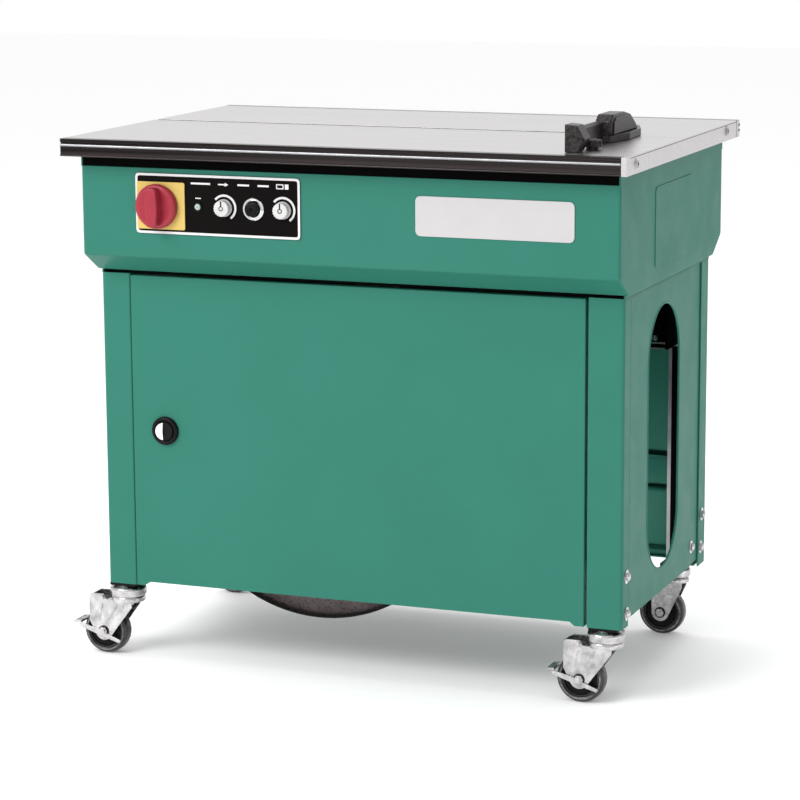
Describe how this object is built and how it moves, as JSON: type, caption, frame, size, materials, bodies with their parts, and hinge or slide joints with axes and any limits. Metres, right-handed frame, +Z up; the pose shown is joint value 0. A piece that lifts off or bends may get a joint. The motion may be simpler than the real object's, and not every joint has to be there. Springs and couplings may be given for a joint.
{
  "type": "semi automatic strapping machine",
  "caption": "Waist-high strapping table with hinged stainless top, sealing head, strap reel cabinet, control panel and braked casters.",
  "frame": {"origin": "on the floor, below the centre of the outline, casters trailing to the left", "axes": "+X the operator's right, +Y the rear, +Z up"},
  "size_m": [0.9424, 0.618, 0.871],
  "materials": {
    "green_paint": "semi-gloss powder coat",
    "stainless": "fine brushed sheet",
    "rail_metal": "extruded, polished dark grey",
    "zinc": "bright zinc plate",
    "steel": "machined",
    "black_paint": "satin",
    "black_plastic": "moulded",
    "rubber": "moulded tread",
    "red_plastic": "moulded",
    "yellow_plastic": "moulded",
    "light_plastic": "moulded",
    "panel_print": "printed overlay",
    "label_white": "blank plate",
    "lamp_lens": "translucent lens",
    "reel_board": "pressed board",
    "brass": "machined"
  },
  "bodies": {
    "machine": {"housing_shell": "green_paint", "table_frame": "black_paint", "front_left_post": "green_paint", "front_right_post": "green_paint", "rear_left_post": "green_paint", "rear_right_post": "green_paint", "left_end_panel": "green_paint", "right_end_panel": "green_paint", "rear_panel": "green_paint", "mechanism_base": "black_paint", "control_panel": "panel_print", "switch_plate": "yellow_plastic", "pilot_lamp": "lamp_lens", "name_plate": "label_white", "reel_bracket": "steel", "electrical_box": "black_paint", "drive_motor": "steel", "drive_belt": "rubber", "gearbox": "steel", "head_block": "steel", "caster_plate_front_left": "zinc", "caster_plate_front_right": "zinc", "caster_plate_rear_left": "zinc", "caster_plate_rear_right": "zinc"},
    "door": {"door_panel": "green_paint", "lock_ring": "black_plastic"},
    "door_lock": {"lock_barrel": "zinc"},
    "main_switch": {"main_switch_knob": "red_plastic"},
    "feed_length_dial": {"feed_length_knob": "light_plastic"},
    "tension_dial": {"tension_knob": "light_plastic"},
    "feed_button": {"manual_feed_button": "black_plastic"},
    "table_top": {"table_plate": "stainless", "front_edge_rail": "rail_metal", "rear_edge_rail": "rail_metal", "guide_base": "black_plastic", "guide_rear_block": "black_plastic", "guide_front_block": "black_plastic"},
    "clamp_knob": {"guide_clamp_knob": "black_plastic"},
    "reel": {"reel_front_flange": "reel_board", "reel_hub": "black_plastic", "reel_rear_flange": "black_plastic"},
    "reel_brake": {"reel_brake_arm": "steel"},
    "motor_shaft": {"motor_pulley": "steel"},
    "gear_input": {"gearbox_pulley": "steel"},
    "cams": {"cam_shaft": "steel"},
    "slide_table": {"slide_table": "stainless"},
    "gripper": {"strap_gripper": "steel"},
    "heater": {"heater_blade": "brass"},
    "feed_roller": {"feed_roller": "rubber"},
    "pinch_roller": {"pinch_roller": "steel"},
    "fork_front_left": {"caster_fork_front_left": "zinc"},
    "wheel_front_left": {"caster_wheel_front_left": "rubber"},
    "fork_front_right": {"caster_fork_front_right": "zinc"},
    "wheel_front_right": {"caster_wheel_front_right": "rubber"},
    "fork_rear_left": {"caster_fork_rear_left": "zinc"},
    "wheel_rear_left": {"caster_wheel_rear_left": "rubber"},
    "fork_rear_right": {"caster_fork_rear_right": "zinc"},
    "wheel_rear_right": {"caster_wheel_rear_right": "rubber"},
    "pedal_front_left": {"brake_pedal_front_left": "zinc"},
    "pedal_front_right": {"brake_pedal_front_right": "zinc"}
  },
  "joints": [
    {"name": "table_hinge", "type": "hinge", "parent": "machine", "child": "table_top", "pos_m": [0.02375, 0.276, 0.797], "axis": [-1, 0, 0], "range_deg": [0, 75]},
    {"name": "door_hinge", "type": "hinge", "parent": "machine", "child": "door", "pos_m": [0.38705, -0.2302, 0.36], "axis": [0, 0, 1], "range_deg": [0, 110]},
    {"name": "door_lock_turn", "type": "hinge", "parent": "door", "child": "door_lock", "pos_m": [-0.29425, -0.23, 0.372], "axis": [0, 1, 0], "range_deg": [0, 90]},
    {"name": "main_switch_turn", "type": "hinge", "parent": "machine", "child": "main_switch", "pos_m": [-0.27525, -0.29, 0.729], "axis": [0, 1, 0], "range_deg": [0, 90]},
    {"name": "feed_length_turn", "type": "hinge", "parent": "machine", "child": "feed_length_dial", "pos_m": [-0.16585, -0.285, 0.7303], "axis": [0, 1, 0], "range_deg": [-135, 135]},
    {"name": "tension_turn", "type": "hinge", "parent": "machine", "child": "tension_dial", "pos_m": [-0.06975, -0.285, 0.7303], "axis": [0, 1, 0], "range_deg": [-135, 135]},
    {"name": "feed_button_press", "type": "slide", "parent": "machine", "child": "feed_button", "axis": [0, 1, 0], "range_m": [0, 0.003], "stiffness_N_per_m": 400},
    {"name": "clamp_knob_turn", "type": "hinge", "parent": "table_top", "child": "clamp_knob", "pos_m": [0.39175, -0.218, 0.838], "axis": [0, 0, 1], "range_deg": [-360, 360]},
    {"name": "caster_swivel_front_left", "type": "hinge", "parent": "machine", "child": "fork_front_left", "pos_m": [-0.37725, -0.2065, 0.097], "axis": [0, 0, 1], "continuous": true},
    {"name": "wheel_spin_front_left", "type": "hinge", "parent": "fork_front_left", "child": "wheel_front_left", "pos_m": [-0.41425, -0.2065, 0.0375], "axis": [0, 1, 0], "continuous": true},
    {"name": "caster_swivel_front_right", "type": "hinge", "parent": "machine", "child": "fork_front_right", "pos_m": [0.41525, -0.2065, 0.097], "axis": [0, 0, 1], "continuous": true},
    {"name": "wheel_spin_front_right", "type": "hinge", "parent": "fork_front_right", "child": "wheel_front_right", "pos_m": [0.37825, -0.2065, 0.0375], "axis": [0, 1, 0], "continuous": true},
    {"name": "caster_swivel_rear_left", "type": "hinge", "parent": "machine", "child": "fork_rear_left", "pos_m": [-0.35825, 0.2065, 0.097], "axis": [0, 0, 1], "continuous": true},
    {"name": "wheel_spin_rear_left", "type": "hinge", "parent": "fork_rear_left", "child": "wheel_rear_left", "pos_m": [-0.38025, 0.2065, 0.0375], "axis": [0, 1, 0], "continuous": true},
    {"name": "caster_swivel_rear_right", "type": "hinge", "parent": "machine", "child": "fork_rear_right", "pos_m": [0.40575, 0.2065, 0.097], "axis": [0, 0, 1], "continuous": true},
    {"name": "wheel_spin_rear_right", "type": "hinge", "parent": "fork_rear_right", "child": "wheel_rear_right", "pos_m": [0.38375, 0.2065, 0.0375], "axis": [0, 1, 0], "continuous": true},
    {"name": "brake_press_front_left", "type": "hinge", "parent": "fork_front_left", "child": "pedal_front_left", "pos_m": [-0.41425, -0.2065, 0.0375], "axis": [0, -1, 0], "range_deg": [0, 12]},
    {"name": "brake_press_front_right", "type": "hinge", "parent": "fork_front_right", "child": "pedal_front_right", "pos_m": [0.37825, -0.2065, 0.0375], "axis": [0, -1, 0], "range_deg": [0, 12]},
    {"name": "reel_spin", "type": "hinge", "parent": "machine", "child": "reel", "pos_m": [-0.07225, -0.04, 0.323], "axis": [0, 1, 0], "continuous": true},
    {"name": "reel_brake_lift", "type": "hinge", "parent": "machine", "child": "reel_brake", "pos_m": [0.14775, 0.054, 0.582], "axis": [0, 1, 0], "range_deg": [0, 5], "stiffness_Nm_per_rad": 2},
    {"name": "motor_spin", "type": "hinge", "parent": "machine", "child": "motor_shaft", "pos_m": [-0.08625, -0.054, 0.695], "axis": [0, 1, 0], "continuous": true},
    {"name": "gear_input_spin", "type": "hinge", "parent": "machine", "child": "gear_input", "pos_m": [0.11875, -0.054, 0.695], "axis": [0, 1, 0], "continuous": true},
    {"name": "cam_spin", "type": "hinge", "parent": "machine", "child": "cams", "pos_m": [0.22375, 0.03, 0.688], "axis": [1, 0, 0], "continuous": true},
    {"name": "slide_table_retract", "type": "slide", "parent": "machine", "child": "slide_table", "axis": [0, 1, 0], "range_m": [0, 0.02]},
    {"name": "gripper_lift", "type": "slide", "parent": "machine", "child": "gripper", "axis": [0, 0, 1], "range_m": [0, 0.005]},
    {"name": "heater_reach", "type": "slide", "parent": "machine", "child": "heater", "axis": [0, -1, 0], "range_m": [0, 0.012]},
    {"name": "feed_roller_spin", "type": "hinge", "parent": "machine", "child": "feed_roller", "pos_m": [0.23575, 0.025, 0.752], "axis": [0, 1, 0], "continuous": true},
    {"name": "pinch_roller_spin", "type": "hinge", "parent": "machine", "child": "pinch_roller", "pos_m": [0.23575, 0.025, 0.79], "axis": [0, 1, 0], "continuous": true}
  ],
  "couplings": [
    {"joint": "gear_input_spin", "follows": "motor_spin", "ratio": 0.5},
    {"joint": "cam_spin", "follows": "motor_spin", "ratio": 0.025},
    {"joint": "pinch_roller_spin", "follows": "feed_roller_spin", "ratio": -1.4667}
  ]
}
